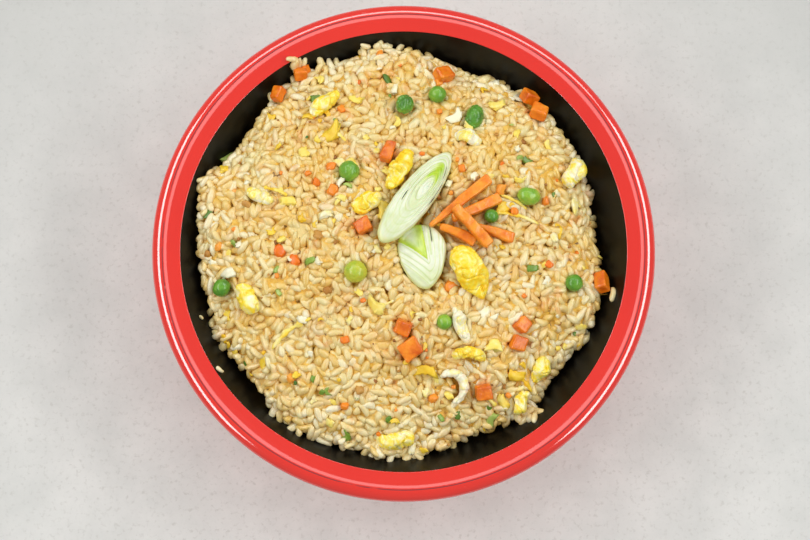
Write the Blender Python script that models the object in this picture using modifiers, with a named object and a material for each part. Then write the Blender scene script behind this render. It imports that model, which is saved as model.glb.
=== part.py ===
# Fried rice heaped in a round lacquered bowl, with leek, carrot, peas and egg on top.
#
# Lengths are in millimetres and angles in degrees until a mesh is made. The origin is
# on the ground under the middle of the bowl, and +Z is up.

import math

import bmesh
import bpy
from mathutils import Euler, Vector, noise

MM = 0.001

# Bowl: the inside is a parabola turned about the middle, the wall stands outside it
RIM_RADIUS = 105.0
RIM_HEIGHT = 72.0
CREST_RADIUS = 100.2  # where the lip is highest
CREST_WIDTH = 3.2
CREST_ROUNDING = 0.4
MOUTH_RADIUS = 93.0
MOUTH_HEIGHT = 70.6
FLOOR_RADIUS = 34.0
FLOOR_HEIGHT = 12.0
WALL = 4.0
LIP_DROP = 3.6
LIP_THICKNESS = 6.5
LIP_STEPS = 4
LIP_EDGE = (1.2, 1.0)  # in and up of its lower corner
LIP_UNDERCUT = 4.0
LIP_ROOT = (3.4, 0.6)  # out of the mouth and down, where the lip meets the wall
LIP_ROOT_DROP = 3.0  # from the mouth in to the first point of the wall's outside
FOOT_RADIUS = 45.0
FOOT_WIDTH = 6.5
FOOT_RECESS = 6.0
FOOT_ROUNDING = 1.0
FOOT_TAPER = 0.6
FOOT_ROOT = 1.6  # from the foot in to the last point of the wall's outside
BOWL_SIDES = 48
WALL_RINGS = 7
OUTER_RINGS = 5

# Rice: a dome that leans on the wall along an uneven edge
HEAP_TOP = 81.0
HEAP_RADIUS = 86.7
HEAP_WAVES = (  # number of bulges around the heap, their size, where one of them is
    (1, 1.7, 146), (5, 1.0, 31), (6, 0.9, 48), (7, 0.5, 36), (8, 0.6, 35), (10, 0.6, 19),
)
HEAP_FLATNESS = 2.6
HEAP_SHOULDER = 0.67
HEAP_SIDES = 48  # as the bowl, so that their flat sides stay level
HEAP_RINGS = 16
HEAP_EDGE_SHARE = 0.7  # share of the rings above the edge
HEAP_SPREAD = math.radians(80)  # sets the rings closer towards the edge
LUMP_SIZE = 11.0
LUMP_HEIGHT = 1.1
LUMP_FADE = 0.2  # share of the reach over which the lumps die out at the edge
SLOPE_STEP = 2.0  # over which the slope under a piece is read
GAP = 0.7  # between the rice and the bowl
POCKET_GAP = 0.4  # between the rice and what lies in it

# What lies on the rice. Places are x and y, headings turn from +X towards +Y, and
# lifts are heights of a piece's middle above the surface of the rice.
LEEKS = (  # name, place, heading, length, width, thickness, lift, tip, hollow, narrowing
    ("leek_slice_long", (4.9, 18.7), 54.5, 50.5, 14.6, 5.2, 1.6, 0.5, 0.0, 0.08),
    ("leek_slice_short", (7.8, -5.9), -84, 27.4, 19.6, 4.6, -0.7, -10, 0.8, 0.26),
)
STICKS = (  # start, end, width, thickness, bend, taper, lift
    ((10.6, 6.4), (35.4, 27.0), 4.4, 3.6, -3, 0.4, 1.6),
    ((20.0, 9.6), (40.0, 19.4), 4.4, 3.2, 5, 0.75, -0.2),
    ((20.6, 14.2), (35.3, -1.2), 4.6, 3.2, -5, 0.9, 3.9),
    ((30.0, 7.4), (45.4, 2.3), 4.6, 3.0, 4, 0.3, -0.5),
    ((15.0, 7.0), (29.6, 0.4), 4.4, 3.0, -24, 0.6, -0.3),
)
PEAS = (  # place, length, width, heading, notch, lift
    ((-22.5, 30.0), 8.9, 8.6, 0, 0.0, 1.0),
    ((-19.6, -12.2), 9.7, 9.4, 0, 0.0, 1.0),
    ((0.3, 58.9), 8.6, 8.0, 80, 0.14, 1.2),
    ((14.2, 64.5), 7.6, 7.4, 0, 0.0, 0.8),
    ((29.7, 54.7), 10.8, 8.3, 75, 0.20, 1.2),
    ((52.0, 20.3), 10.4, 7.9, -8, 0.16, 1.0),
    ((-75.6, -17.2), 8.0, 7.6, 60, 0.08, 1.0),
    ((70.7, -15.3), 7.4, 7.0, 0, 0.0, 0.8),
    ((16.6, -32.6), 6.6, 6.4, 0, 0.0, -1.2),
    ((36.2, 11.4), 6.2, 6.0, 0, 0.0, -0.6),
)
EGGS = (  # place, heading, length, width, thickness, bend, lift
    ((-1.8, 30.6), 64, 19.5, 8.6, 6.6, 18, 0.6),
    ((26.6, -12.4), -67, 24.0, 13.0, 5.6, -14, 0.8),
    ((-3.4, -79.6), 6, 16.0, 8.6, 7.0, -12, 1.2),
    ((21.0, -58.3), 118, 24.0, 4.8, 5.0, 235, 1.2),
    ((23.6, -33.9), -70, 16.0, 5.4, 4.0, 16, 0.6),
    ((-64.4, -22.4), -62, 14.0, 9.0, 6.4, 0, 0.8),
    ((71.8, 32.2), 58, 15.0, 9.0, 7.4, 25, 1.2),
    ((56.8, -50.7), 72, 12.0, 7.0, 6.0, 10, 0.8),
    ((-33.2, 60.4), 44, 15.5, 7.0, 5.6, -15, 0.6),
    ((48.6, -64.6), 74, 11.0, 6.2, 5.6, 0, 1.2),
    ((26.6, -46.6), 175, 15.5, 5.0, 5.0, 95, 0.8),
    ((-59.4, 20.3), -26, 13.0, 5.8, 4.6, 20, 0.4),
    ((-15.2, 16.6), 20, 13.0, 8.4, 5.4, -20, 0.4),
    ((27.0, 45.6), -20, 12.0, 7.4, 5.2, 20, 0.4),
)
DICE = (  # place, heading, length, width, thickness, tip, lift
    ((53.7, 65.5), 12, 6.6, 5.6, 5.0, 12, 3.0),
    ((57.4, 58.2), -24, 7.0, 5.8, 5.2, -8, 2.0),
    ((83.0, -14.0), 70, 8.0, 5.4, 5.2, 10, 2.6),
    ((-0.2, -35.0), -20, 6.4, 5.8, 5.0, 8, 0.5),
    ((2.6, -43.6), 35, 8.2, 7.6, 6.2, -6, 1.1),
    ((-44.0, 74.6), 20, 5.6, 4.8, 4.6, 20, 2.6),
    ((-53.6, 66.2), 75, 6.4, 4.4, 4.2, 0, 2.4),
    ((17.0, 74.6), 25, 7.4, 6.0, 5.2, 0, 1.2),
    ((-6.5, 38.4), 72, 8.6, 4.6, 4.6, 10, 0.6),
    ((-16.4, 6.6), 25, 6.2, 5.8, 5.0, -8, 0.6),
    ((48.7, -33.2), 50, 5.8, 5.4, 5.0, 12, 0.6),
    ((47.0, -40.4), -15, 6.2, 5.6, 5.0, 0, 0.6),
    ((32.8, -60.7), 10, 6.6, 5.8, 5.0, -6, 0.7),
)
POCKET_REACH = 3.0  # most that a sharp corner may carry the gap out

CARROT_ROUNDING = 0.5
CARROT_CORNER = math.radians(40)  # an edge sharper than this is rounded
DIE_SKEW = 0.7
DIE_SKEW_RATE = 5.0
DIE_SEED_STEP = 2.3
STICK_PARTS = 4
STICK_TAPER_SHARE = 0.625  # of its length that a strip narrows over
LEEK_SIDES = 16
LEEK_STEPS = 9
LEEK_RINGS = 3.0  # layers seen across half a slice
LEEK_RIDGE = 0.35
LEEK_SPACING = 0.8  # below 1 crowds the points towards the outline
LEEK_EDGE_SHARPNESS = 6
LEEK_HOLLOW = (0.6, 1.8)  # share of the thickness that a full hollow takes, and how fast it rises
PEA_DENT = 0.06
PEA_DENT_SIZE = 0.625
PEA_NOTCH_SHARPNESS = 8.0
EGG_SIDES = 8
EGG_STEPS = 6
EGG_LUMP = 0.34  # share of its width that an egg piece swells and shrinks by
EGG_LUMP_RATE = 1.3
EGG_SEED_STEP = 3.7
EGG_BLUNTNESS = 0.7
EGG_FOLD = 0.25  # share of the thickness
EGG_FOLD_RATE = 2.5

COLOURS = {  # red, green, blue, roughness
    "lacquer_red": (0.82, 0.05, 0.03, 0.25),
    "rice": (0.80, 0.62, 0.34, 0.55),
    "leek": (0.80, 0.86, 0.52, 0.4),
    "carrot": (0.90, 0.24, 0.02, 0.45),
    "pea": (0.17, 0.42, 0.04, 0.35),
    "egg": (0.95, 0.68, 0.08, 0.5),
}


# Shapes of the bowl and of the rice

def wall_height(radius):
    reach = max(0.0, (radius - FLOOR_RADIUS) / (MOUTH_RADIUS - FLOOR_RADIUS))
    return FLOOR_HEIGHT + (MOUTH_HEIGHT - FLOOR_HEIGHT) * reach ** 2


def wall_point(radius, offset):
    """Radius and height of a point beside the inside of the wall; a negative offset is inwards."""
    reach = max(0.0, (radius - FLOOR_RADIUS) / (MOUTH_RADIUS - FLOOR_RADIUS))
    slope = 2 * (MOUTH_HEIGHT - FLOOR_HEIGHT) * reach / (MOUTH_RADIUS - FLOOR_RADIUS)
    length = math.hypot(slope, 1)
    return radius + offset * slope / length, wall_height(radius) - offset / length


def steps(first, last, count):
    return [first + (last - first) * i / (count - 1) for i in range(count)]


def bowl_profile():
    """Half section, from the middle of the floor up the inside, over the lip and down to the foot."""
    wall_rings = steps(FLOOR_RADIUS, MOUTH_RADIUS, WALL_RINGS)
    inside = [(0, FLOOR_HEIGHT)] + [wall_point(radius, 0) for radius in wall_rings]

    lip_width = RIM_RADIUS - CREST_RADIUS
    lip = [(CREST_RADIUS - CREST_WIDTH, RIM_HEIGHT - CREST_ROUNDING)]
    for angle in steps(0, math.pi / 2, LIP_STEPS):
        lip.append((CREST_RADIUS + lip_width * math.sin(angle),
                    RIM_HEIGHT - LIP_DROP * (1 - math.cos(angle))))
    under = RIM_HEIGHT - LIP_THICKNESS
    lip += [(RIM_RADIUS - LIP_EDGE[0], under + LIP_EDGE[1]), (RIM_RADIUS - LIP_UNDERCUT, under),
            (MOUTH_RADIUS + LIP_ROOT[0], under - LIP_ROOT[1])]

    outer_rings = steps(MOUTH_RADIUS - LIP_ROOT_DROP, FOOT_RADIUS - FOOT_ROOT, OUTER_RINGS)
    outside = [wall_point(radius, WALL) for radius in outer_rings]

    foot_outer, foot_inner = FOOT_RADIUS - FOOT_TAPER, FOOT_RADIUS - FOOT_WIDTH
    foot = [(foot_outer, FOOT_ROUNDING), (foot_outer - FOOT_ROUNDING, 0),
            (foot_inner + FOOT_ROUNDING, 0), (foot_inner, FOOT_ROUNDING),
            (foot_inner - FOOT_ROUNDING, FOOT_RECESS), (0, FOOT_RECESS)]
    return inside + lip + outside + foot


def heap_reach(azimuth):
    """Radius at which the rice meets the wall, azimuth in radians."""
    waves = (size * math.cos(count * (azimuth - math.radians(place))) for count, size, place in HEAP_WAVES)
    return HEAP_RADIUS + sum(waves)


def heap_height(x, y):
    """Height of the surface of the rice."""
    reach = heap_reach(math.atan2(y, x))
    share = min(math.hypot(x, y) / reach, 1.0)
    edge = wall_height(reach)
    dome = (1 - share ** HEAP_FLATNESS) ** HEAP_SHOULDER
    lump = LUMP_HEIGHT * noise.noise(Vector((x, y, 0)) / LUMP_SIZE)
    return edge + (HEAP_TOP - edge) * dome + lump * min(1.0, (1 - share) / LUMP_FADE)


def heap_point(azimuth, fall):
    """A point of the rice's skin; fall goes from 0 at the top, over the edge, to 1 under the middle."""
    reach = heap_reach(azimuth)
    around = Vector((math.cos(azimuth), math.sin(azimuth)))
    if fall < HEAP_EDGE_SHARE:
        share = math.sin(fall / HEAP_EDGE_SHARE * HEAP_SPREAD) / math.sin(HEAP_SPREAD)
        spot = around * share * (reach - GAP)
        return Vector((*spot, heap_height(*spot)))
    below = (fall - HEAP_EDGE_SHARE) / (1 - HEAP_EDGE_SHARE)
    radius, height = wall_point(reach * (1 - below), -GAP)
    return Vector((*(around * max(radius, 0)), height))


# Making objects

def material(name):
    red, green, blue, roughness = COLOURS[name]
    made = bpy.data.materials.get(name)
    if made is None:
        made = bpy.data.materials.new(name)
        made.use_nodes = True
        shader = made.node_tree.nodes["Principled BSDF"]
        shader.inputs["Base Color"].default_value = (red, green, blue, 1)
        shader.inputs["Roughness"].default_value = roughness
        shader.inputs["Metallic"].default_value = 0
    return made


def add(name, bm, colour, collection):
    """Makes an object of a bmesh whose lengths are in millimetres."""
    bmesh.ops.scale(bm, vec=(MM, MM, MM), verts=bm.verts)
    mesh = bpy.data.meshes.new(name)
    bm.to_mesh(mesh)
    bm.free()
    mesh.materials.append(material(colour))
    mesh.shade_smooth()
    made = bpy.data.objects.new(name, mesh)
    collection.objects.link(made)
    return made


def turned(name, profile, colour, collection):
    bm = bmesh.new()
    corners = [bm.verts.new((radius, 0, height)) for radius, height in profile]
    for first, second in zip(corners, corners[1:]):
        bm.edges.new((first, second))
    made = add(name, bm, colour, collection)
    screw = made.modifiers.new("turn", "SCREW")
    screw.steps = screw.render_steps = BOWL_SIDES
    screw.use_merge_vertices = True
    screw.merge_threshold = 0.00001
    return made


def soft_ball(segments, rings, place):
    """A sphere whose points are moved by place(azimuth, share of the way down)."""
    bm = bmesh.new()
    bmesh.ops.create_uvsphere(bm, u_segments=segments, v_segments=rings, radius=1)
    for vert in bm.verts:
        fall = math.acos(max(-1.0, min(1.0, vert.co.z))) / math.pi
        vert.co = place(math.atan2(vert.co.y, vert.co.x), fall)
    return bm


def bent(point, length, bend):
    """Bends a shape that lies along X into an arc that turns by this angle over its length."""
    if bend == 0:
        return point
    turn = math.radians(bend)
    radius = length / turn
    angle = point.x / radius
    reach = radius - point.y
    middle = radius * (1 - math.cos(turn / 2)) / 2  # keeps the arc centred on its place
    return Vector((reach * math.sin(angle), radius - reach * math.cos(angle) - middle, point.z))


def bend_all(bm, length, bend):
    for vert in bm.verts:
        vert.co = bent(vert.co, length, bend)


def lay(piece, place, heading, lift, tip=0.0):
    """Sets a piece down on the rice, square to its surface."""
    x, y = place
    height = heap_height(x, y)
    beside, behind = heap_height(x + SLOPE_STEP, y), heap_height(x, y + SLOPE_STEP)
    normal = Vector((height - beside, height - behind, SLOPE_STEP))
    lean = Vector((0, 0, 1)).rotation_difference(normal).to_matrix()
    turn = Euler((0, math.radians(tip), math.radians(heading))).to_matrix()
    piece.rotation_euler = (lean @ turn).to_euler()
    piece.location = Vector((x, y, height + lift)) * MM
    return piece


# Toppings, each along X about its own middle

def pea(length, width, notch, seed):
    bm = bmesh.new()
    bmesh.ops.create_icosphere(bm, subdivisions=2, radius=1)
    for vert in bm.verts:
        dimple = notch * max(0.0, vert.co.y) * math.exp(-PEA_NOTCH_SHARPNESS * vert.co.x ** 2)
        dent = PEA_DENT * noise.noise(vert.co / PEA_DENT_SIZE + Vector((seed, 0, 0)))
        size = 1 + dent - dimple
        vert.co = Vector((vert.co.x * length, vert.co.y * width, vert.co.z * width)) * size / 2
    return bm


def egg(length, width, thickness, bend, seed):
    """A torn, rounded flake of set egg with a fold along its back."""
    bm = soft_ball(EGG_SIDES, EGG_STEPS, lambda azimuth, fall: Vector((azimuth, fall, 0)))
    for vert in bm.verts:
        azimuth, fall = vert.co.x, vert.co.y
        along = math.cos(math.pi * fall)
        girth = math.sin(math.pi * fall) ** EGG_BLUNTNESS
        spot = Vector((along * length / width, math.cos(azimuth), math.sin(azimuth)))
        lump = 1 + EGG_LUMP * noise.noise(spot * EGG_LUMP_RATE + Vector((seed * EGG_SEED_STEP, 0, 0)))
        fold = EGG_FOLD * thickness * math.sin(EGG_FOLD_RATE * along * length / width + seed) * girth
        vert.co = Vector((along * length / 2,
                          math.cos(azimuth) * girth * width / 2 * lump,
                          math.sin(azimuth) * girth * thickness / 2 * lump + fold))
    bend_all(bm, length, bend)
    bmesh.ops.triangulate(bm, faces=bm.faces)
    return bm


def die(length, width, thickness, seed):
    """A cube of carrot, cut by hand and so a little out of square."""
    bm = bmesh.new()
    bmesh.ops.create_cube(bm, size=1)
    for vert in bm.verts:
        spots = [vert.co * DIE_SKEW_RATE + Vector((seed, 0, axis)) * DIE_SEED_STEP for axis in range(3)]
        skew = Vector([noise.noise(spot) for spot in spots]) * DIE_SKEW
        vert.co = Vector((vert.co.x * length, vert.co.y * width, vert.co.z * thickness)) + skew
    return bm


def stick(length, width, thickness, bend, taper):
    """A cut strip of carrot, narrower at its start."""
    bm = bmesh.new()
    bmesh.ops.create_cube(bm, size=1)
    lengthwise = [e for e in bm.edges if e.verts[0].co.x != e.verts[1].co.x]
    bmesh.ops.subdivide_edges(bm, edges=lengthwise, cuts=STICK_PARTS - 1, use_grid_fill=True)
    for vert in bm.verts:
        narrow = taper + (1 - taper) * min(1.0, (vert.co.x + 0.5) / STICK_TAPER_SHARE)
        vert.co = Vector((vert.co.x * length, vert.co.y * width * narrow, vert.co.z * thickness))
    bend_all(bm, length, bend)
    return bm


def leek(length, width, thickness, hollow, narrowing):
    """An oblique slice: an oval whose layers stand as ridges, with the core fallen in where it is hollow."""
    def place(azimuth, fall):
        flat = math.sin(math.pi * fall)
        ring = flat ** LEEK_SPACING
        up = math.copysign(1, 0.5 - fall) * (1 - flat ** LEEK_EDGE_SHARPNESS) ** 0.5
        z = up * thickness / 2
        if fall < 0.5:
            z += LEEK_RIDGE * math.cos(2 * math.pi * LEEK_RINGS * ring) * (1 - ring)
            z -= LEEK_HOLLOW[0] * hollow * thickness * max(0.0, 1 - LEEK_HOLLOW[1] * ring)
        pinch = 1 - narrowing * math.cos(azimuth)
        return Vector((math.cos(azimuth) * ring * length / 2,
                       math.sin(azimuth) * ring * width / 2 * pinch, z))
    bm = soft_ball(LEEK_SIDES, LEEK_STEPS, place)
    bmesh.ops.triangulate(bm, faces=bm.faces)
    return bm


def round_edges(piece):
    bevel = piece.modifiers.new("round", "BEVEL")
    bevel.width = CARROT_ROUNDING * MM
    bevel.segments = 1
    bevel.limit_method = "ANGLE"
    bevel.angle_limit = CARROT_CORNER
    return piece


def build_toppings(collection):
    laid = []
    for name, place, heading, length, width, thickness, lift, tip, hollow, narrowing in LEEKS:
        slice_ = add(name, leek(length, width, thickness, hollow, narrowing), "leek", collection)
        laid.append(lay(slice_, place, heading, lift, tip))
    for i, (start, end, width, thickness, bend, taper, lift) in enumerate(STICKS, 1):
        run = Vector(end) - Vector(start)
        shape = stick(run.length, width, thickness, bend, taper)
        strip = add(f"carrot_stick_{i}", shape, "carrot", collection)
        heading = math.degrees(math.atan2(run.y, run.x))
        laid.append(round_edges(lay(strip, (Vector(start) + Vector(end)) / 2, heading, lift)))
    for i, (place, length, width, heading, notch, lift) in enumerate(PEAS, 1):
        ball = add(f"pea_{i}", pea(length, width, notch, i), "pea", collection)
        laid.append(lay(ball, place, heading, lift))
    for i, (place, heading, length, width, thickness, bend, lift) in enumerate(EGGS, 1):
        flake = add(f"egg_{i}", egg(length, width, thickness, bend, i), "egg", collection)
        laid.append(lay(flake, place, heading, lift))
    for i, (place, heading, length, width, thickness, tip, lift) in enumerate(DICE, 1):
        cube = add(f"carrot_die_{i}", die(length, width, thickness, i), "carrot", collection)
        laid.append(round_edges(lay(cube, place, heading, lift, tip)))
    return laid


def cut_pockets(heap, toppings, cutters):
    """Hollows the rice round each topping, so that they touch but never overlap."""
    for topping in toppings:
        bm = bmesh.new()
        bm.from_mesh(topping.data)
        bm.normal_update()
        for vert in bm.verts:
            vert.co += vert.normal * min(vert.calc_shell_factor(), POCKET_REACH) * POCKET_GAP * MM
        mesh = bpy.data.meshes.new(f"pocket_of_{topping.name}")
        bm.to_mesh(mesh)
        bm.free()
        cutter = bpy.data.objects.new(mesh.name, mesh)
        cutter.location = topping.location
        cutter.rotation_euler = topping.rotation_euler
        cutter.hide_render = True
        cutter.display_type = "WIRE"
        cutters.objects.link(cutter)
    pockets = heap.modifiers.new("pockets", "BOOLEAN")
    pockets.operation = "DIFFERENCE"
    pockets.operand_type = "COLLECTION"
    pockets.collection = cutters
    pockets.solver = "EXACT"


def main():
    for old in list(bpy.data.objects):
        bpy.data.objects.remove(old)
    dish = bpy.data.collections.new("fried_rice_bowl")
    cutters = bpy.data.collections.new("pockets")
    bpy.context.scene.collection.children.link(dish)
    bpy.context.scene.collection.children.link(cutters)
    cutters.hide_render = True

    turned("bowl", bowl_profile(), "lacquer_red", dish)
    heap = add("rice_heap", soft_ball(HEAP_SIDES, HEAP_RINGS, heap_point), "rice", dish)
    cut_pockets(heap, build_toppings(dish), cutters)


main()
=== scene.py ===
import math
import time

import bmesh
import bpy
import numpy as np
from mathutils import Matrix, Vector, noise
from mathutils.bvhtree import BVHTree


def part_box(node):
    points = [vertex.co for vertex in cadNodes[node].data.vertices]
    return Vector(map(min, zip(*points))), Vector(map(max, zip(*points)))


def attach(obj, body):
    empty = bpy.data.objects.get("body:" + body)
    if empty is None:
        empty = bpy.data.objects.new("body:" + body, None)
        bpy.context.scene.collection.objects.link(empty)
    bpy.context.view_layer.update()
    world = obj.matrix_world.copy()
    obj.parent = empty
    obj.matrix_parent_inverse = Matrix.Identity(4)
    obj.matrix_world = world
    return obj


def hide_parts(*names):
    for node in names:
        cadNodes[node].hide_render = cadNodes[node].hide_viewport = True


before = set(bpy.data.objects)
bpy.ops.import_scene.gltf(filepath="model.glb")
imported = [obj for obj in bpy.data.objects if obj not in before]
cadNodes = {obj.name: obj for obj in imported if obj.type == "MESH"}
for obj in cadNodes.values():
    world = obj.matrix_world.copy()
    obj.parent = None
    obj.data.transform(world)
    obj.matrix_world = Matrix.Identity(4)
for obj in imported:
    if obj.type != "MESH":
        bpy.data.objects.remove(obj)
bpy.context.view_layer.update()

bowlLow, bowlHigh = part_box("bowl")
mm = 0.001  # shapes are worked out in millimetres and made in metres
started = time.time()


def say(words):
    print(f"{words} ({time.time() - started:.0f} s)")


# Node trees: sums on wires add Math nodes, every other node comes from addNode

class Wire:
    def __init__(self, tree, socket):
        self.tree, self.socket = tree, socket

    def out(self, name):  # another output of the same node
        return Wire(self.tree, self.socket.node.outputs[name])

    def __add__(self, other):
        return mathNode(self.tree, "ADD", self, other)

    def __radd__(self, other):
        return mathNode(self.tree, "ADD", other, self)

    def __sub__(self, other):
        return mathNode(self.tree, "SUBTRACT", self, other)

    def __rsub__(self, other):
        return mathNode(self.tree, "SUBTRACT", other, self)

    def __mul__(self, other):
        return mathNode(self.tree, "MULTIPLY", self, other)

    def __rmul__(self, other):
        return mathNode(self.tree, "MULTIPLY", other, self)

    def __truediv__(self, other):
        return mathNode(self.tree, "DIVIDE", self, other)

    def __pow__(self, other):
        return mathNode(self.tree, "POWER", self, other)


def addNode(tree, kind, settings=None, inputs=None, output=0):
    node = tree.nodes.new(kind)
    for key, value in (settings or {}).items():
        if key == "stops":
            setStops(node.color_ramp, value)
        else:
            setattr(node, key, value)
    for key, value in (inputs or {}).items():
        if isinstance(value, Wire):
            tree.links.new(value.socket, node.inputs[key])
        else:
            node.inputs[key].default_value = value
    return Wire(tree, node.outputs[output] if len(node.outputs) else None)


def mathNode(tree, operation, *values):
    return addNode(tree, "ShaderNodeMath", {"operation": operation}, dict(enumerate(values)))


def setStops(ramp, stops):
    while len(ramp.elements) > 1:
        ramp.elements.remove(ramp.elements[-1])
    ramp.elements[0].position, ramp.elements[0].color = stops[0][0], shade(stops[0][1])
    for position, colour in stops[1:]:
        ramp.elements.new(position).color = shade(colour)


def shade(colour):  # three screen values from 0 to 255, as a linear colour
    linear = [((v / 255 + 0.055) / 1.055) ** 2.4 if v > 10 else v / 3295 for v in colour]
    return (*linear, 1)


class Finish:  # a material and the few node patterns that the finishes share
    def __init__(self, name, **constants):
        self.material = bpy.data.materials.new(name)
        self.material.use_nodes = True
        self.tree = self.material.node_tree
        self.shader = self.tree.nodes["Principled BSDF"]
        for key, value in constants.items():
            self.shader.inputs[key].default_value = value

    def node(self, kind, settings=None, inputs=None, output=0):
        return addNode(self.tree, kind, settings, inputs, output)

    def place(self):
        return self.node("ShaderNodeTexCoord", output="Object")

    def noise(self, scale, detail=2.0, roughness=0.5, distortion=0.0, place=None):
        return self.node("ShaderNodeTexNoise", None, {
            "Vector": place or self.place(), "Scale": scale, "Detail": detail,
            "Roughness": roughness, "Distortion": distortion}, "Fac")

    def ramp(self, value, stops):
        return self.node("ShaderNodeValToRGB", {"stops": stops}, {"Fac": value}, "Color")

    def between(self, value, low, high):  # 0 below low, 1 above high, smooth between
        return self.node("ShaderNodeMapRange", {"interpolation_type": "SMOOTHSTEP"},
                         {"Value": value, "From Min": low, "From Max": high})

    def mix(self, share, first, second, blend="MIX"):
        first = shade(first) if isinstance(first, tuple) else first
        second = shade(second) if isinstance(second, tuple) else second
        made = self.node("ShaderNodeMix", {"data_type": "RGBA", "blend_type": blend},
                         {0: share, 6: first, 7: second}, 2)
        return made

    def attribute(self, name, output="Fac"):
        return self.node("ShaderNodeAttribute", {"attribute_name": name}, None, output)

    def bump(self, height, strength, distance):
        return self.node("ShaderNodeBump", None, {"Height": height, "Strength": strength, "Distance": distance})

    def feed(self, **values):
        for key, value in values.items():
            self.tree.links.new(value.socket, self.shader.inputs[key.replace("_", " ")])
        return self.material


# Meshes

def newObject(name, mesh, material, smooth=True):
    mesh.materials.clear()
    mesh.materials.append(material)
    if smooth:
        mesh.shade_smooth()
    piece = bpy.data.objects.new(name, mesh)
    bpy.context.scene.collection.objects.link(piece)
    return piece


def newMesh(name, points, faces):  # points in millimetres
    mesh = bpy.data.meshes.new(name)
    mesh.from_pydata((np.asarray(points) * mm).tolist(), [], faces)
    mesh.update()
    return mesh


def addAttribute(mesh, name, kind, values):
    made = mesh.attributes.new(name, kind, "POINT")
    key = {"FLOAT": "value", "FLOAT_VECTOR": "vector", "FLOAT_COLOR": "color"}[kind]
    made.data.foreach_set(key, np.asarray(values, dtype=np.float32).ravel())


def pointsOf(mesh):
    found = np.empty(len(mesh.vertices) * 3, dtype=np.float32)
    mesh.vertices.foreach_get("co", found)
    return found.reshape(-1, 3).astype(float) / mm


def applied(piece):  # the piece's modifiers made plain mesh
    graph = bpy.context.evaluated_depsgraph_get()
    mesh = bpy.data.meshes.new_from_object(piece.evaluated_get(graph))
    piece.modifiers.clear()
    piece.data = mesh
    return piece


def gridFaces(rows, columns):  # quads of rows that close round
    first = np.arange(rows - 1)[:, None] * columns
    here = np.arange(columns)[None, :]
    after = (here + 1) % columns
    quads = np.stack([first + here, first + after, first + columns + after, first + columns + here], -1)
    return quads.reshape(-1, 4).tolist()


# Bowl

bowlShape = {
    "sides": 288,
    "crestRadius": 100.2,
    "crestRound": 6.0,
    "crestRoundInside": 10.0,
    "innerSlope": 10.0,  # degrees
    "outerSlope": 34.0,
    "mouthRadius": 93.0,
    "mouthHeight": 70.6,
    "floorRadius": 34.0,
    "floorHeight": 12.0,
    "wall": 4.0,
    "lipDrop": 3.6,
    "lipThickness": 6.5,
    "footRadius": 45.0,
    "footWidth": 6.5,
    "footRecess": 6.0,
}
rimRadius = bowlHigh.x / mm
rimHeight = bowlHigh.z / mm


def wallHeight(radius):
    b = bowlShape
    reach = np.maximum(0, (radius - b["floorRadius"]) / (b["mouthRadius"] - b["floorRadius"]))
    return b["floorHeight"] + (b["mouthHeight"] - b["floorHeight"]) * reach ** 2


def wallPoint(radius, offset):
    b = bowlShape
    span = b["mouthRadius"] - b["floorRadius"]
    slope = 2 * (b["mouthHeight"] - b["floorHeight"]) * max(0, radius - b["floorRadius"]) / span ** 2
    length = math.hypot(slope, 1)
    return radius + offset * slope / length, float(wallHeight(radius)) - offset / length


def roundedCorner(before, corner, after, size, count=5):  # a corner of a half section, rounded off
    before, corner, after = (np.array(p, float) for p in (before, corner, after))
    start = corner + (before - corner) / np.linalg.norm(before - corner) * size
    end = corner + (after - corner) / np.linalg.norm(after - corner) * size
    return [tuple((1 - t) ** 2 * start + 2 * t * (1 - t) * corner + t * t * end) for t in np.linspace(0, 1, count)]


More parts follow.
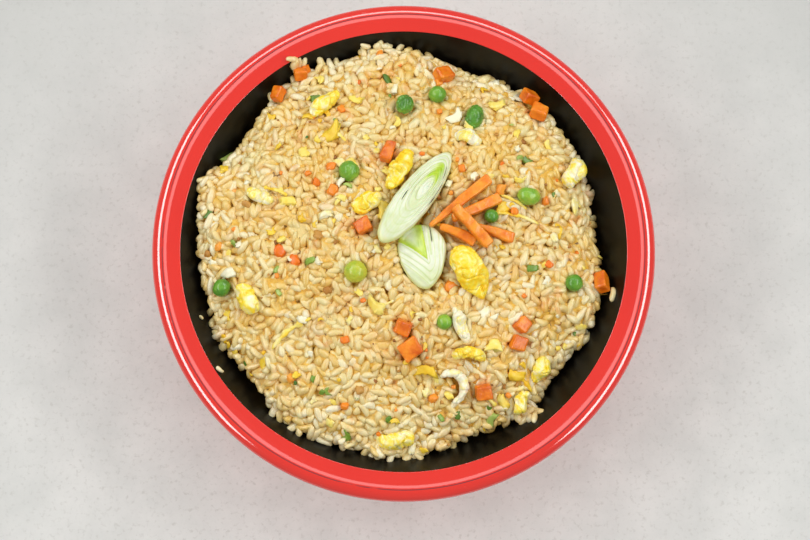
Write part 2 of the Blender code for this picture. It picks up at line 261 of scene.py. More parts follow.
def makeBowl():
    b = bowlShape
    inside = [(0.0, b["floorHeight"])] + [(r, b["floorHeight"]) for r in (10, 20, 28)]
    inside += [wallPoint(r, 0) for r in np.linspace(b["floorRadius"], b["mouthRadius"] - 0.5, 40)]
    blackPoints = len(inside) + 1
    mouth = (b["mouthRadius"], b["mouthHeight"])
    crest = (b["crestRadius"], rimHeight)
    lip = [(mouth[0] - 0.03, mouth[1] - 0.08), (mouth[0] + 0.02, mouth[1] - 0.01), (mouth[0] + 0.12, mouth[1] + 0.03)]
    turnIn, turnOut = math.radians(b["innerSlope"]), math.radians(b["outerSlope"])
    rounded = []
    for t in [*np.linspace(-turnIn, 0, 6, endpoint=False), *np.linspace(0, turnOut, 12)]:
        size = b["crestRound"] if t >= 0 else b["crestRoundInside"]
        rounded.append((crest[0] + size * math.sin(t), crest[1] - size * (1 - math.cos(t))))
    for t in np.linspace(0.15, 0.92, 7):  # the inner band
        lip.append((lip[2][0] + (rounded[0][0] - lip[2][0]) * t, lip[2][1] + (rounded[0][1] - lip[2][1]) * t))
    lip += rounded
    side = (rimRadius, rimHeight - b["lipDrop"])
    turning = (side[0], rounded[-1][1] - (side[0] - rounded[-1][0]) * math.tan(turnOut))
    for t in np.linspace(0.1, 1, 10):  # the outer slope, steeper towards the side
        lip.append(tuple((1 - t) ** 2 * np.array(rounded[-1]) + 2 * t * (1 - t) * np.array(turning)
                         + t * t * np.array(side)))
    under = rimHeight - b["lipThickness"]
    joint = wallPoint(b["mouthRadius"] - 3.6, b["wall"])
    lip += roundedCorner(side, (rimRadius - 0.2, under), (rimRadius - 4, under), 2.6, 7)
    lip += roundedCorner((rimRadius - 4, under), (b["mouthRadius"] + 2.2, under - 0.4), joint, 2.2, 7)
    outside = [wallPoint(r, b["wall"]) for r in np.linspace(b["mouthRadius"] - 4, b["footRadius"] - 0.2, 30)]
    foot = b["footRadius"]
    inner = foot - b["footWidth"]
    top = outside[-1]
    foots = roundedCorner(top, (foot - 0.3, top[1] - 2.2), (foot - 0.6, 2), 1.6)
    foots += roundedCorner((foot - 0.6, 3), (foot - 0.7, 0), (foot - 3, 0), 0.9)
    foots += roundedCorner((inner + 3, 0), (inner, 0), (inner - 0.4, 3), 0.9)
    foots += roundedCorner((inner - 0.4, 3), (inner - 0.8, b["footRecess"]), (0, b["footRecess"]), 1.4)
    foots.append((0.0, b["footRecess"]))
    profile = np.array(inside + lip + outside + foots)

    turn = np.linspace(0, 2 * math.pi, b["sides"], endpoint=False)
    middle = profile[1:-1]
    rings = np.stack([middle[:, :1] * np.cos(turn), middle[:, :1] * np.sin(turn),
                      np.repeat(middle[:, 1:], len(turn), 1)], -1).reshape(-1, 3)
    points = np.vstack([rings, (0, 0, profile[0, 1]), (0, 0, profile[-1, 1])])
    faces = gridFaces(len(middle), len(turn))
    last = (len(middle) - 1) * len(turn)
    for i in range(len(turn)):
        j = (i + 1) % len(turn)
        faces.append((len(rings), j, i))
        faces.append((len(rings) + 1, last + i, last + j))
    faces = [f[::-1] for f in faces]
    mesh = newMesh("bowlShell", points, faces)
    black = np.zeros(len(points))
    black[: (blackPoints - 1) * len(turn)] = 1
    black[len(rings)] = 1
    addAttribute(mesh, "blackInside", "FLOAT", black)
    return mesh


def makeLacquer():
    f = Finish("lacquerRedBlack", Roughness=0.22)
    f.shader.inputs["Specular IOR Level"].default_value = 0.3
    f.shader.inputs["Coat Roughness"].default_value = 0.07
    f.shader.inputs["Coat IOR"].default_value = 2.1
    place = f.node("ShaderNodeSeparateXYZ", None, {0: f.place()})
    x, y, z = place, place.out("Y"), place.out("Z")
    radius = mathNode(f.tree, "SQRT", x * x + y * y)
    around = f.node("ShaderNodeCombineXYZ", None, {0: x / radius, 1: y / radius, 2: radius * 40})

    red = f.ramp(f.noise(18, 3), [(0.3, (230, 26, 4)), (0.7, (238, 34, 8))])
    top = f.between(z, 0.0705, 0.0712)
    crest = 1 - f.between(mathNode(f.tree, "ABSOLUTE", radius - 0.10022), 0.00008, 0.0003)
    worn = f.between(f.noise(3.2, 5, 0.62, 0, around) + f.noise(24, 2, 0.5, 0, around) * 0.35, 0.5, 0.64)
    scuff = crest * top * worn
    nickPlace = f.node("ShaderNodeCombineXYZ", None, {0: x * 260, 1: y * 260, 2: radius * 2600})
    nicks = f.between(f.noise(1, 2, 0.5, 0, nickPlace), 0.74, 0.78) * top * f.between(radius, 0.0988, 0.0998)
    coloured = f.mix(scuff * 0.85, red, (84, 14, 34))
    coloured = f.mix(nicks * 0.7, coloured, (250, 200, 190))

    # brown streaks on the black inside: partly smears of sauce, partly painted reflection
    streakPlace = f.node("ShaderNodeCombineXYZ", None, {0: x * 3, 1: y * 3, 2: z * 0.4})
    streak = f.noise(60, 4, 0.6, 0.3, streakPlace)
    black = f.ramp(streak, [(0.3, (4, 3, 3)), (0.62, (10, 8, 6)), (0.8, (26, 21, 13))])
    inside = f.between(f.attribute("blackInside"), 0.4, 0.6)
    colour = f.mix(inside, coloured, black)
    rough = f.noise(160, 3) * 0.08 + 0.09 + scuff * 0.3 + inside * 0.2
    height = f.noise(55, 2) * 0.5 - scuff * 1.2
    return f.feed(Base_Color=colour, Roughness=rough, Coat_Weight=1 - inside,
                  Normal=f.bump(height, 0.12, 0.0006))


bowl = newObject("bowlShell", makeBowl(), makeLacquer())
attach(bowl, "root")
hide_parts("bowl")
say("bowl turned")


# What lies on the rice: finer copies of the solids, each in its solid's place

toppingNames = [name for name in cadNodes if name not in ("bowl", "rice_heap")]
toppings = []


def solidCopy(name, node):  # a merged copy of a solid's mesh
    mesh = node.data.copy()
    mesh.name = name
    bm = bmesh.new()
    bm.from_mesh(mesh)
    bm.transform(node.matrix_world)
    bmesh.ops.remove_doubles(bm, verts=bm.verts, dist=0.00001)
    bmesh.ops.recalc_face_normals(bm, faces=bm.faces)
    bm.to_mesh(mesh)
    bm.free()
    for old in list(mesh.attributes):
        if not old.is_required and not old.name.startswith("."):
            mesh.attributes.remove(old)
    mesh.materials.clear()
    return mesh


def refine(name, node, voxel, soften, rounding):
    # remeshes a copy evenly, then softens its edges
    piece = bpy.data.objects.new(name, solidCopy(name, node))
    bpy.context.scene.collection.objects.link(piece)
    if soften:
        soft = piece.modifiers.new("soften", "SUBSURF")
        soft.levels = soft.render_levels = soften
    even = piece.modifiers.new("even", "REMESH")
    even.mode = "VOXEL"
    even.voxel_size = voxel * mm
    smooth = piece.modifiers.new("round", "SMOOTH")
    smooth.factor, smooth.iterations = 0.5, rounding
    return applied(piece)


def pushOut(mesh, amount):  # moves each point along its normal by amount(x, y, z), in millimetres
    points = pointsOf(mesh)
    normals = np.empty(len(points) * 3, dtype=np.float32)
    mesh.vertices.foreach_get("normal", normals)
    moved = points + normals.reshape(-1, 3) * np.array([amount(p) for p in points])[:, None]
    mesh.vertices.foreach_set("co", (moved * mm).ravel())
    mesh.update()


def fitTo(mesh, name):  # stretches a mesh to its solid's box
    low, high = (np.array(corner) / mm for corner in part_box(name))
    points = pointsOf(mesh)
    least, most = points.min(0), points.max(0)
    points = low + (points - least) / (most - least) * (high - low)
    mesh.vertices.foreach_set("co", (points * mm).ravel())
    mesh.update()


def ripple(point, size, seed, octaves=1):
    spot = Vector(point) / size + Vector((seed * 5.3, 0, 0))
    if octaves == 1:
        return noise.noise(spot)
    return noise.fractal(spot, 0.9, 2.0, octaves)


def dress(piece, name, finish, slot, **marks):  # one constant mark for each of a piece's variations
    for mark, value in marks.items():
        addAttribute(piece.data, mark, "FLOAT", np.full(len(piece.data.vertices), value))
    piece.data.materials.clear()
    piece.data.materials.append(finish)
    piece.data.shade_smooth()
    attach(piece, "root")
    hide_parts(name)
    toppings.append(piece)


# Peas

peaShape = {
    "voxel": 0.28,
    "wrinkle": {3: 0.42, 5: 0.30, 6: 0.14},  # depth of the wrinkles, for the peas that have them
    "smoothSkin": 0.12,
    "ripe": {2: 0.95, 6: 0.6, 1: 0.45, 4: 0.35, 9: 0.5, 8: 0.3},  # 0 dark green, 1 yellow green
}


def makePeaFinish():
    f = Finish("peaSkin", Roughness=0.28)
    ripe = f.attribute("ripe") + (f.noise(210, 3, 0.6) - 0.5) * 0.9
    colour = f.ramp(ripe, [(0.0, (56, 112, 32)), (0.3, (98, 158, 48)), (0.6, (140, 186, 58)), (1.0, (192, 198, 58))])
    f.shader.inputs["Coat Weight"].default_value = 0.25
    f.shader.inputs["Subsurface Weight"].default_value = 0.1
    f.shader.inputs["Subsurface Scale"].default_value = 0.001
    return f.feed(Base_Color=colour, Roughness=f.noise(400, 2) * 0.2 + 0.18,
                  Normal=f.bump(f.noise(620, 3), 0.25, 0.0004))


def makePeas():
    finish = makePeaFinish()
    for name in [n for n in toppingNames if n.startswith("pea_")]:
        number = int(name.split("_")[1])
        piece = refine(f"greenPea{number}", cadNodes[name], peaShape["voxel"], 2, 2)
        depth = peaShape["wrinkle"].get(number, peaShape["smoothSkin"])

        def skin(p):
            crease = 1 - abs(ripple(p, 2.4, number)) * 3
            return -depth * max(0.0, crease) + 0.06 * ripple(p, 1.4, number + 9)
        pushOut(piece.data, skin)
        fitTo(piece.data, name)
        dress(piece, name, finish, "pea", ripe=peaShape["ripe"].get(number, 0.22))


# Egg

eggShape = {
    "voxel": 0.34,
    "lump": 0.5,
    "crease": 0.65,
    "skin": 0.2,
    "tip": {2: 0.55, 1: 0.25, 8: 0.3},  # how much narrower the end of a flake gets
    "white": {1: 0.27, 2: 0.22, 4: 0.93, 5: 0.85, 7: 0.62, 12: 0.6, 3: 0.45, 6: 0.48, 14: 0.75, 10: 0.5, 8: 0.45, 11: 0.35, 9: 0.4},
}


def makeEggFinish():
    f = Finish("scrambledEgg", Roughness=0.3)
    marbling = f.noise(130, 5, 0.62, 2.2) - 0.5
    patch = f.attribute("white") + marbling * 2.3
    colour = f.ramp(patch, [(0.0, (250, 200, 16)), (0.22, (254, 218, 34)), (0.42, (254, 230, 84)),
                            (0.6, (252, 237, 150)), (0.85, (247, 242, 210))])
    f.shader.inputs["Subsurface Weight"].default_value = 0.1
    f.shader.inputs["Subsurface Scale"].default_value = 0.001
    f.shader.inputs["Coat Weight"].default_value = 0.3
    f.shader.inputs["Coat Roughness"].default_value = 0.15
    return f.feed(Base_Color=colour, Roughness=f.noise(300, 3) * 0.3 + 0.18,
                  Normal=f.bump(f.noise(420, 3, 0.55), 0.25, 0.0006))


def narrowEnd(mesh, amount):  # draws the lower end of a flake in towards its axis
    points = pointsOf(mesh)
    middle = points.mean(0)
    away = points[:, :2] - middle[:2]
    along = np.linalg.svd(away[::7], full_matrices=False)[2][0]
    along = along * -np.sign(along[1])
    run = away @ along
    share = 1 - amount * np.clip((run / run.max() - 0.05) / 0.95, 0, 1) ** 1.2
    points[:, :2] = middle[:2] + run[:, None] * along + (away - run[:, None] * along) * share[:, None]
    mesh.vertices.foreach_set("co", (points * mm).ravel())
    mesh.update()


def makeEggs():
    finish = makeEggFinish()
    for name in [n for n in toppingNames if n.startswith("egg_")]:
        number = int(name.split("_")[1])
        piece = refine(f"eggFlake{number}", cadNodes[name], eggShape["voxel"], 1, 3)

        def curds(p):
            lump = eggShape["lump"] * ripple(p, 4.2, number) + eggShape["skin"] * ripple(p, 2.8, number, 3)
            crease = max(0.0, 1 - 5 * abs(ripple(p, 4.6, number + 20)))
            return lump - eggShape["crease"] * crease ** 2
        pushOut(piece.data, curds)
        narrowEnd(piece.data, eggShape["tip"].get(number, 0.0))
        fitTo(piece.data, name)
        dress(piece, name, finish, "egg", white=eggShape["white"].get(number, 0.3))


# Carrot

carrotShape = {
    "voxel": 0.30,
    "grain": 0.10,
    "dent": 0.22,
}


def makeCarrotFinish():
    f = Finish("cookedCarrot", Roughness=0.34)
    tone = f.noise(190, 4, 0.62) + f.attribute("tone")
    colour = f.ramp(tone, [(0.3, (212, 92, 8)), (0.52, (238, 128, 14)), (0.75, (250, 162, 44))])
    f.shader.inputs["Coat Weight"].default_value = 0.2
    f.shader.inputs["Subsurface Weight"].default_value = 0.12
    f.shader.inputs["Subsurface Scale"].default_value = 0.001
    return f.feed(Base_Color=colour, Roughness=f.noise(300, 3) * 0.25 + 0.24,
                  Normal=f.bump(f.noise(480, 4, 0.6), 0.3, 0.0006))


def makeCarrots(finish):
    for name in [n for n in toppingNames if n.startswith("carrot_")]:
        number = int(name.split("_")[-1])
        isStrip = "stick" in name
        piece = refine(f"carrot{'Strip' if isStrip else 'Die'}{number}", cadNodes[name], carrotShape["voxel"], 0, 3)

        def cut(p):
            return carrotShape["dent"] * ripple(p, 3.2, number) + carrotShape["grain"] * ripple(p, 0.8, number)
        pushOut(piece.data, cut)
        fitTo(piece.data, name)
        dress(piece, name, finish, "carrot", tone=(0.12 if isStrip else 0.0) + 0.1 * ripple((number, 2, 3), 1.7, 4))


# Leek

leekShape = {
    "leek_slice_long": {
        "piece": "leekSliceLong", "heading": 54.5, "length": 50.5, "width": 14.6, "thickness": 5.2,
        "narrowing": 0.08, "centre": (0.26, -0.20), "hollow": 0.3,
        "slits": ((0.64, 96, 122, 1.5), (0.86, -96, -62, 1.6), (0.74, -60, -20, 0.5)),  # way out, start, end, depth
        "limeRing": (0.30, 0.44), "limeFrom": (0.05, 0.62), "wedge": (0.62, -0.16, 0.2, 0.36),
        "lines": (0.25, 0.47, 0.60, 0.72, 0.86)},
    "leek_slice_short": {
        "piece": "leekSliceShort", "heading": -84, "length": 27.4, "width": 19.6, "thickness": 4.6,
        "narrowing": 0.26, "centre": (0.0, 0.0), "hollow": 1.3,
        "apex": (0.157, 0.2), "leftArm": 0.7, "limeWide": (0.5, 0.55), "lines": (0.08, 0.36, 0.6, 0.78)},
}


def frameOf(name, heading):  # a slice's middle and its directions along, across and up
    mesh = solidCopy("measure", cadNodes[name])
    middle, spread, weight = np.zeros(3), np.zeros((3, 3)), 0.0
    points = pointsOf(mesh)
    faces = [points[list(p.vertices)] for p in mesh.polygons]
    areas = [np.linalg.norm(np.cross(f[1] - f[0], f[2] - f[0])) for f in faces]
    centres = np.array([f.mean(0) for f in faces])
    weight = np.array(areas) / sum(areas)
    middle = (centres * weight[:, None]).sum(0)
    away = centres - middle
    spread = (away[:, :, None] * away[:, None, :] * weight[:, None, None]).sum(0)
    up = np.linalg.eigh(spread)[1][:, 0]
    up = up * np.sign(up[2])
    bpy.data.meshes.remove(mesh)
    along = np.array([math.cos(math.radians(heading)), math.sin(math.radians(heading)), 0])
    along = along - up * (along @ up)
    along /= np.linalg.norm(along)
    return middle, along, np.cross(up, along), up


def makeLeekFinish():
    f = Finish("leekFlesh", Roughness=0.3)
    fibres = f.noise(260, 4, 0.6) - 0.5
    white = f.ramp(f.noise(140, 3) + fibres * 0.4, [(0.3, (216, 225, 186)), (0.6, (232, 237, 214))])
    colour = f.mix(f.attribute("streak") * 0.75, white, (206, 221, 142))
    colour = f.mix(f.attribute("line") * 0.85, colour, (188, 208, 104))
    colour = f.mix(f.attribute("skin") * 0.8, colour, (220, 224, 140))
    lime = f.ramp(f.noise(160, 3) + fibres * 0.5, [(0.3, (166, 200, 30)), (0.65, (204, 226, 74))])
    colour = f.mix(f.attribute("lime"), colour, lime)
    # painted shade: the slits are painted dark olive, as the shade in their grooves
    colour = f.mix(f.attribute("slit") * 0.85, colour, (104, 112, 40))
    f.shader.inputs["Subsurface Weight"].default_value = 0.1
    f.shader.inputs["Subsurface Scale"].default_value = 0.001
    f.shader.inputs["Coat Weight"].default_value = 0.2
    return f.feed(Base_Color=colour, Roughness=f.noise(300, 3) * 0.2 + 0.24,
                  Normal=f.bump(f.noise(380, 4, 0.6), 0.2, 0.0005))


def step01(value, low, high):
    t = np.clip((value - low) / (high - low), 0, 1)
    return t * t * (3 - 2 * t)


def roundPattern(s, q, u, v, a):  # shells round a core: relief in millimetres, and marks
    angle = np.degrees(np.arctan2(np.sin(a), np.cos(a)))
    slit = np.zeros_like(q)
    for at, start, end, depth in s["slits"]:
        within = np.clip(np.minimum(angle - start, end - angle) / 10, 0, 1)
        slit = np.maximum(slit, depth * within * np.exp(-((q - at) / 0.016) ** 2))
    ring = step01(q, s["limeRing"][0] - 0.04, s["limeRing"][0])
    ring *= 1 - step01(q, s["limeRing"][1] - 0.05, s["limeRing"][1])
    at, side, long, wide = s["wedge"]
    wedge = np.exp(-((u - at) / long) ** 2 - ((v - side) / wide) ** 2) * (q < 0.66)
    lime = ring * (0.18 + 0.82 * step01(u, *s["limeFrom"])) + wedge * 1.1
    line = sum(np.exp(-((q - at - 0.012 * np.sin(3 * u + 9 * at)) / 0.013) ** 2) for at in s["lines"])
    lower = step01(-u, -0.15, 0.7)
    streak = lower * (0.35 + 0.3 * np.cos(v * 31) * np.cos(v * 13 + 1)) * (1 - step01(q, 0.86, 0.97))
    relief = 0.24 * np.cos(2 * math.pi * (q * 6.5 + 0.1 * np.sin(3 * a))) * np.clip(3 - 3 * q, 0, 1) * (1 - 0.5 * lower)
    relief -= s["hollow"] * step01(-q, -0.52, -0.25) + slit
    return relief, {"lime": lime, "line": line * (1 - 0.65 * lower), "streak": streak, "slit": slit * 1.2}


def splitPattern(s, q, u, v, a):  # shells that run out in two arms from a point
    point, side = s["apex"]
    axis = side + 0.1 * (u - point)
    left = u - point + s["leftArm"] * (axis - v)
    right = np.hypot(np.maximum(u - point, 0), 1.15 * (v - axis))
    isLeft = v < axis
    isCore = isLeft & (left < 0)
    out = np.where(isLeft, np.maximum(left, 0), right)
    inward = np.minimum(-left / s["limeWide"][0], (axis - v) / s["limeWide"][1])
    lime = isCore * np.exp(-np.maximum(inward, 0) ** 2 / 0.55) + 0.5 * np.exp(-((out - 0.2) / 0.04) ** 2) * ~isLeft * (u < 0)
    line = sum(np.exp(-((out - at - 0.02 * np.sin(7 * at + 4 * u)) / 0.02) ** 2) for at in s["lines"])
    slit = 1.4 * np.exp(-((out - 0.3) / 0.022) ** 2) * ~isLeft * step01(u, -0.95, -0.85) * step01(-u, 0.35, 0.5)
    slit += 0.5 * np.exp(-((v - axis) / 0.025) ** 2) * step01(-u, 0.3, 0.6)
    relief = 0.14 * np.cos(2 * math.pi * out * 3.6) * ~isCore - s["hollow"] * isCore * step01(inward, 0.0, 0.5) - slit
    streak = 0.6 * step01(u, 0.15, 0.75) * ~isCore
    return relief * np.clip(6 - 6 * q, 0, 1), {"lime": lime, "line": line * ~isCore * 0.8, "streak": streak, "slit": slit}


leekPatterns = {"leek_slice_long": roundPattern, "leek_slice_short": splitPattern}


def makeLeek(name, finish):
    s = leekShape[name]
    sides, rings = 180, 72
    turn = np.linspace(0, 2 * math.pi, sides, endpoint=False)
    share = 1 - (1 - np.linspace(0.015, 1, rings)) ** 1.2
    q, a = np.meshgrid(share, turn, indexing="ij")
    u = q * np.cos(a) + s["centre"][0] * (1 - q)
    v = q * np.sin(a) + s["centre"][1] * (1 - q)
    edge = np.sqrt(np.maximum(0, 1 - np.hypot(u, v) ** 7))
    relief, marks = leekPatterns[name](s, q, u, v, a)
    marks["skin"] = step01(q, 0.9, 0.99)
    length, width, thick = s["length"] / 2, s["width"] / 2, s["thickness"] / 2
    narrow = 1 - s["narrowing"] * u
    top = np.stack([u * length, v * width * narrow, thick * edge + relief], -1)
    base = np.stack([u * length, v * width * narrow, -thick * edge], -1)
    rows = np.concatenate([top, base[-2::-1]])
    points = np.vstack([rows.reshape(-1, 3), top[0].mean(0)[None], base[0].mean(0)[None]])
    faces = gridFaces(len(rows), sides)
    last = (len(rows) - 1) * sides
    for i in range(sides):
        j = (i + 1) % sides
        faces.append((len(points) - 2, j, i))
        faces.append((len(points) - 1, last + i, last + j))
    middle, along, across, up = frameOf(name, s["heading"])
    points = middle + points @ np.array([along, across, up])
    mesh = newMesh(s["piece"], points, [f[::-1] for f in faces])
    for key, grid in marks.items():
        grid = np.clip(grid, 0, 1)
        under = grid[-2::-1] * (0 if key == "slit" else 1)
        addAttribute(mesh, key, "FLOAT", np.concatenate([grid.ravel(), under.ravel(), grid[0, :1], grid[0, :1]]))
    piece = newObject(s["piece"], mesh, finish)
    pushOut(mesh, lambda p: 0.2 * ripple(p, 3.4, 5))
    fitTo(mesh, name)
    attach(piece, "root")
    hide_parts(name)
    toppings.append(piece)


makePeas()
makeEggs()
makeCarrots(makeCarrotFinish())
leekFinish = makeLeekFinish()
for name in leekShape:
    makeLeek(name, leekFinish)
say("toppings laid")


# The bed that the rice lies on: height fields over the mouth of the bowl

bedShape = {
    "half": 97.0,  # half the side of the square field
    "cell": 0.45,
    "coarse": 2.0,  # spacing at which the solids' heights are read
    "coreDepth": 2.6,  # how far the core stays below the surface of the rice
    "lumps": 1.0,  # how strongly the surface swells and sinks
    "cracks": 1.6,  # depth of the cracks between clumps
    "sunkIn": 0.82,  # how much of a topping's outline the grains keep off
    "edgeReach": 7.0,
    "edgeLumps": 8.0,
    "seed": 7,
}
heap = cadNodes["rice_heap"]
heapTree = BVHTree.FromPolygons([heap.matrix_world @ v.co for v in heap.data.vertices],
                                [tuple(p.vertices) for p in heap.data.polygons])


def heapHeight(x, y):  # of the solid heap's top, or the wall's beside it
    hit = heapTree.ray_cast(Vector((x * mm, y * mm, 0.2)), Vector((0, 0, -1)))[0]
    return float(wallHeight(math.hypot(x, y))) if hit is None else hit.z / mm


def readFine(grid, axis, x, y):  # a coarse square grid read between its points
    step = axis[1] - axis[0]
    u = np.clip((x - axis[0]) / step, 0, len(axis) - 1.001)
    v = np.clip((y - axis[0]) / step, 0, len(axis) - 1.001)
    i, j = u.astype(int), v.astype(int)
    s, t = u - i, v - j
    return ((1 - s) * (1 - t) * grid[i, j] + s * (1 - t) * grid[i + 1, j]
            + (1 - s) * t * grid[i, j + 1] + s * t * grid[i + 1, j + 1])


def waves(rng, size, x, y):  # a smooth random field, about -1 to 1
    half = bedShape["half"] + size
    axis = np.arange(-half, half + size, size)
    grid = rng.uniform(-1, 1, (len(axis), len(axis)))
    grid = (grid + np.roll(grid, 1, 0) + np.roll(grid, 1, 1)) / 1.8
    return readFine(grid, axis, x, y)


def makeBed():
    s = bedShape
    axis = np.arange(-s["half"], s["half"] + s["cell"], s["cell"])
    x, y = np.meshgrid(axis, axis, indexing="ij")
    radius = np.hypot(x, y)
    wall = wallHeight(radius)

    rough = np.arange(-s["half"], s["half"] + s["coarse"], s["coarse"])
    heights = np.full((len(rough), len(rough)), np.nan)
    for i, u in enumerate(rough):
        for j, v in enumerate(rough):
            if math.hypot(u, v) < bowlShape["mouthRadius"] + 1:
                heights[i, j] = heapHeight(u, v)
    covered = np.zeros_like(heights, bool)
    for name in toppingNames:
        low, high = (np.array(corner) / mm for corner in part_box(name))
        inside = ((rough[:, None] > low[0] - 1.5) & (rough[:, None] < high[0] + 1.5)
                  & (rough[None, :] > low[1] - 1.5) & (rough[None, :] < high[1] + 1.5))
        covered |= inside
    outside = np.isnan(heights)
    heights[outside] = wallHeight(np.hypot(*np.meshgrid(rough, rough, indexing="ij")))[outside]
    spots = covered & ~outside
    heights[spots] = np.nanmean(heights[~spots & ~outside])
    for _ in range(400):  # carries the surface on under each topping
        mean = (np.roll(heights, 1, 0) + np.roll(heights, -1, 0) + np.roll(heights, 1, 1) + np.roll(heights, -1, 1)) / 4
        heights[spots] = mean[spots]
    surface = np.maximum(readFine(heights, rough, x, y), wall)
    rng = np.random.default_rng(s["seed"])
    uneven = waves(rng, 6.0, x, y) * 1.1 + waves(rng, 13.0, x, y) * 1.5
    uneven -= s["cracks"] * np.clip(1 - 7 * np.abs(waves(rng, 8.0, x, y)), 0, 1)
    nearEdge = np.exp(-((surface - wall) / s["edgeReach"]) ** 2)
    ragged = waves(rng, 4.5, x, y) * 0.6 + waves(rng, 9.0, x, y) * 0.9
    target = surface + np.where(surface > wall + 0.2, uneven * s["lumps"] + nearEdge * ragged * s["edgeLumps"], 0)
    inner = target > wall + 0.6
    core = np.maximum(np.minimum(surface, target) - s["coreDepth"], wall - 1.0)
    taken = np.zeros_like(x, bool)  # where a topping keeps the grains off
    return {"axis": axis, "x": x, "y": y, "radius": radius, "wall": wall, "surface": surface,
            "target": target, "core": core, "height": np.maximum(core, wall), "taken": taken, "inner": inner}


bed = makeBed()
for piece in toppings:
    spots = pointsOf(piece.data)[:, :2]
    middle = (spots.min(0) + spots.max(0)) / 2
    spots = middle + (spots - middle) * (bedShape["sunkIn"] if "leek" not in piece.name else 1)
    spots = ((spots + bedShape["half"]) / bedShape["cell"]).round().astype(int)
    bed["taken"][spots[:, 0], spots[:, 1]] = True
say("bed read")


def bedAt(key, x, y):
    return float(readFine(bed[key], bed["axis"], np.array([x]), np.array([y]))[0])


# Grains: each settles on what already lies there, until the heap is full

riceShape = {
    "grains": 6200,
    "tries": 20000,
    "length": (5.2, 8.5),
    "width": (2.8, 4.2),
    "flatness": 0.8,
    "overlap": 0.3,  # share of a grain's underside that must be clear: the grains stick together
    "proud": 0.7,  # how far a grain may stand out of the surface
    "edgeProud": 0.7,
    "tilt": 0.95,
    "unevenness": 0.75,
    "loose": ((-16.4, 88.0, 0.9), (-75.8, -51.0, 0.75), (-84.4, -29.0, 0.45)),
    "seed": 11,
}


def settle(x, y, yaw, long, wide, thick, proud, steep=None):
    # rests an ellipsoid on the bed; gives its middle and slopes, or None where it doesn't fit
    cell = bedShape["cell"]
    n = int(long / cell) + 1
    i, j = int(round((x + bedShape["half"]) / cell)), int(round((y + bedShape["half"]) / cell))
    if not (n < i < len(bed["axis"]) - n - 1 and n < j < len(bed["axis"]) - n - 1):
        return None
    window = (slice(i - n, i + n + 1), slice(j - n, j + n + 1))
    dx, dy = bed["x"][window] - x, bed["y"][window] - y
    u = dx * math.cos(yaw) + dy * math.sin(yaw)
    v = dy * math.cos(yaw) - dx * math.sin(yaw)
    left = 1 - (u / long) ** 2 - (v / wide) ** 2
    under = left > 0.04
    if bed["taken"][window][under].mean() > 0.22:
        return None
    u, v, rise = u[under], v[under], thick * np.sqrt(left[under])
    below = bed["height"][window][under]
    steep = steep or riceShape["tilt"] + 1.2 * max(0.0, (math.hypot(x, y) - 76) / 14)
    mean = below.mean()
    slopeU = float(np.clip(((below - mean) * u).sum() / (u * u).sum(), -steep, steep))
    slopeV = float(np.clip(((below - mean) * v).sum() / (v * v).sum(), -steep, steep))
    plane = slopeU * u + slopeV * v
    rest = np.sort(below - plane + rise)
    z = float(rest[int(riceShape["overlap"] * (len(rest) - 1))])
    top = z + plane + rise
    if (top > bed["target"][window][under] + proud).mean() > 0.2:
        return None
    held = bed["height"][window]
    held[under] = np.maximum(below, top)
    return x, y, z, yaw, slopeU, slopeV


def turnOf(yaw, slopeU, slopeV, roll):
    along = Vector((math.cos(yaw), math.sin(yaw), slopeU)).normalized()
    across = Vector((-math.sin(yaw), math.cos(yaw), slopeV))
    up = along.cross(across).normalized()
    square = Matrix((along, up.cross(along), up)).transposed()
    return (square @ Matrix.Rotation(roll, 3, "X")).to_euler()


def pourRice():
    r = riceShape
    rng = np.random.default_rng(r["seed"])
    grains = []
    spots = None
    for k in range(r["tries"]):
        if k % 400 == 0:  # looks for where the heap isn't full yet
            lack = np.where(bed["inner"] & ~bed["taken"], bed["target"] - bed["height"], 0)
            lack = np.clip(lack - 0.3, 0, 2.5) ** 1.5
            chance = np.cumsum(lack.ravel())
            if chance[-1] < 1:
                break
            spots = np.searchsorted(chance, rng.uniform(0, chance[-1], 400))
        flat = spots[k % 400]
        x = bed["x"].ravel()[flat] + rng.uniform(-0.2, 0.2)
        y = bed["y"].ravel()[flat] + rng.uniform(-0.2, 0.2)
        broken = rng.uniform() < 0.1
        length = rng.uniform(*r["length"]) * (0.6 if broken else 1)
        width = rng.uniform(*r["width"])
        yaw = rng.uniform(0, math.pi)
        proud = r["proud"] + r["edgeProud"] * min(1.0, max(0.0, (math.hypot(x, y) - 74) / 8))
        found = settle(x, y, yaw, length / 2, width / 2, width / 2 * r["flatness"], proud)
        if found:
            grains.append((*found, length, width, broken))
            if len(grains) >= r["grains"]:
                break
    say(f"{len(grains)} grains settled in {k + 1} tries")
    return grains + looseGrains(rng), rng


def looseGrains(rng):  # a few that lie on the bare wall
    found = []
    for x, y, size in riceShape["loose"]:
        radius = math.hypot(x, y)
        steep = float(wallHeight(radius + 0.5) - wallHeight(radius - 0.5))
        yaw = math.atan2(y, x) + math.pi / 2 + rng.uniform(-0.5, 0.5)
        away = math.atan2(y, x) - yaw
        lift = 0.5 * 2.8 * size * math.hypot(1, steep) * 0.8
        found.append((x, y, float(wallHeight(radius)) + lift, yaw, steep * math.cos(away), steep * math.sin(away),
                      5.2 * size, 2.8 * size, False))
    return found


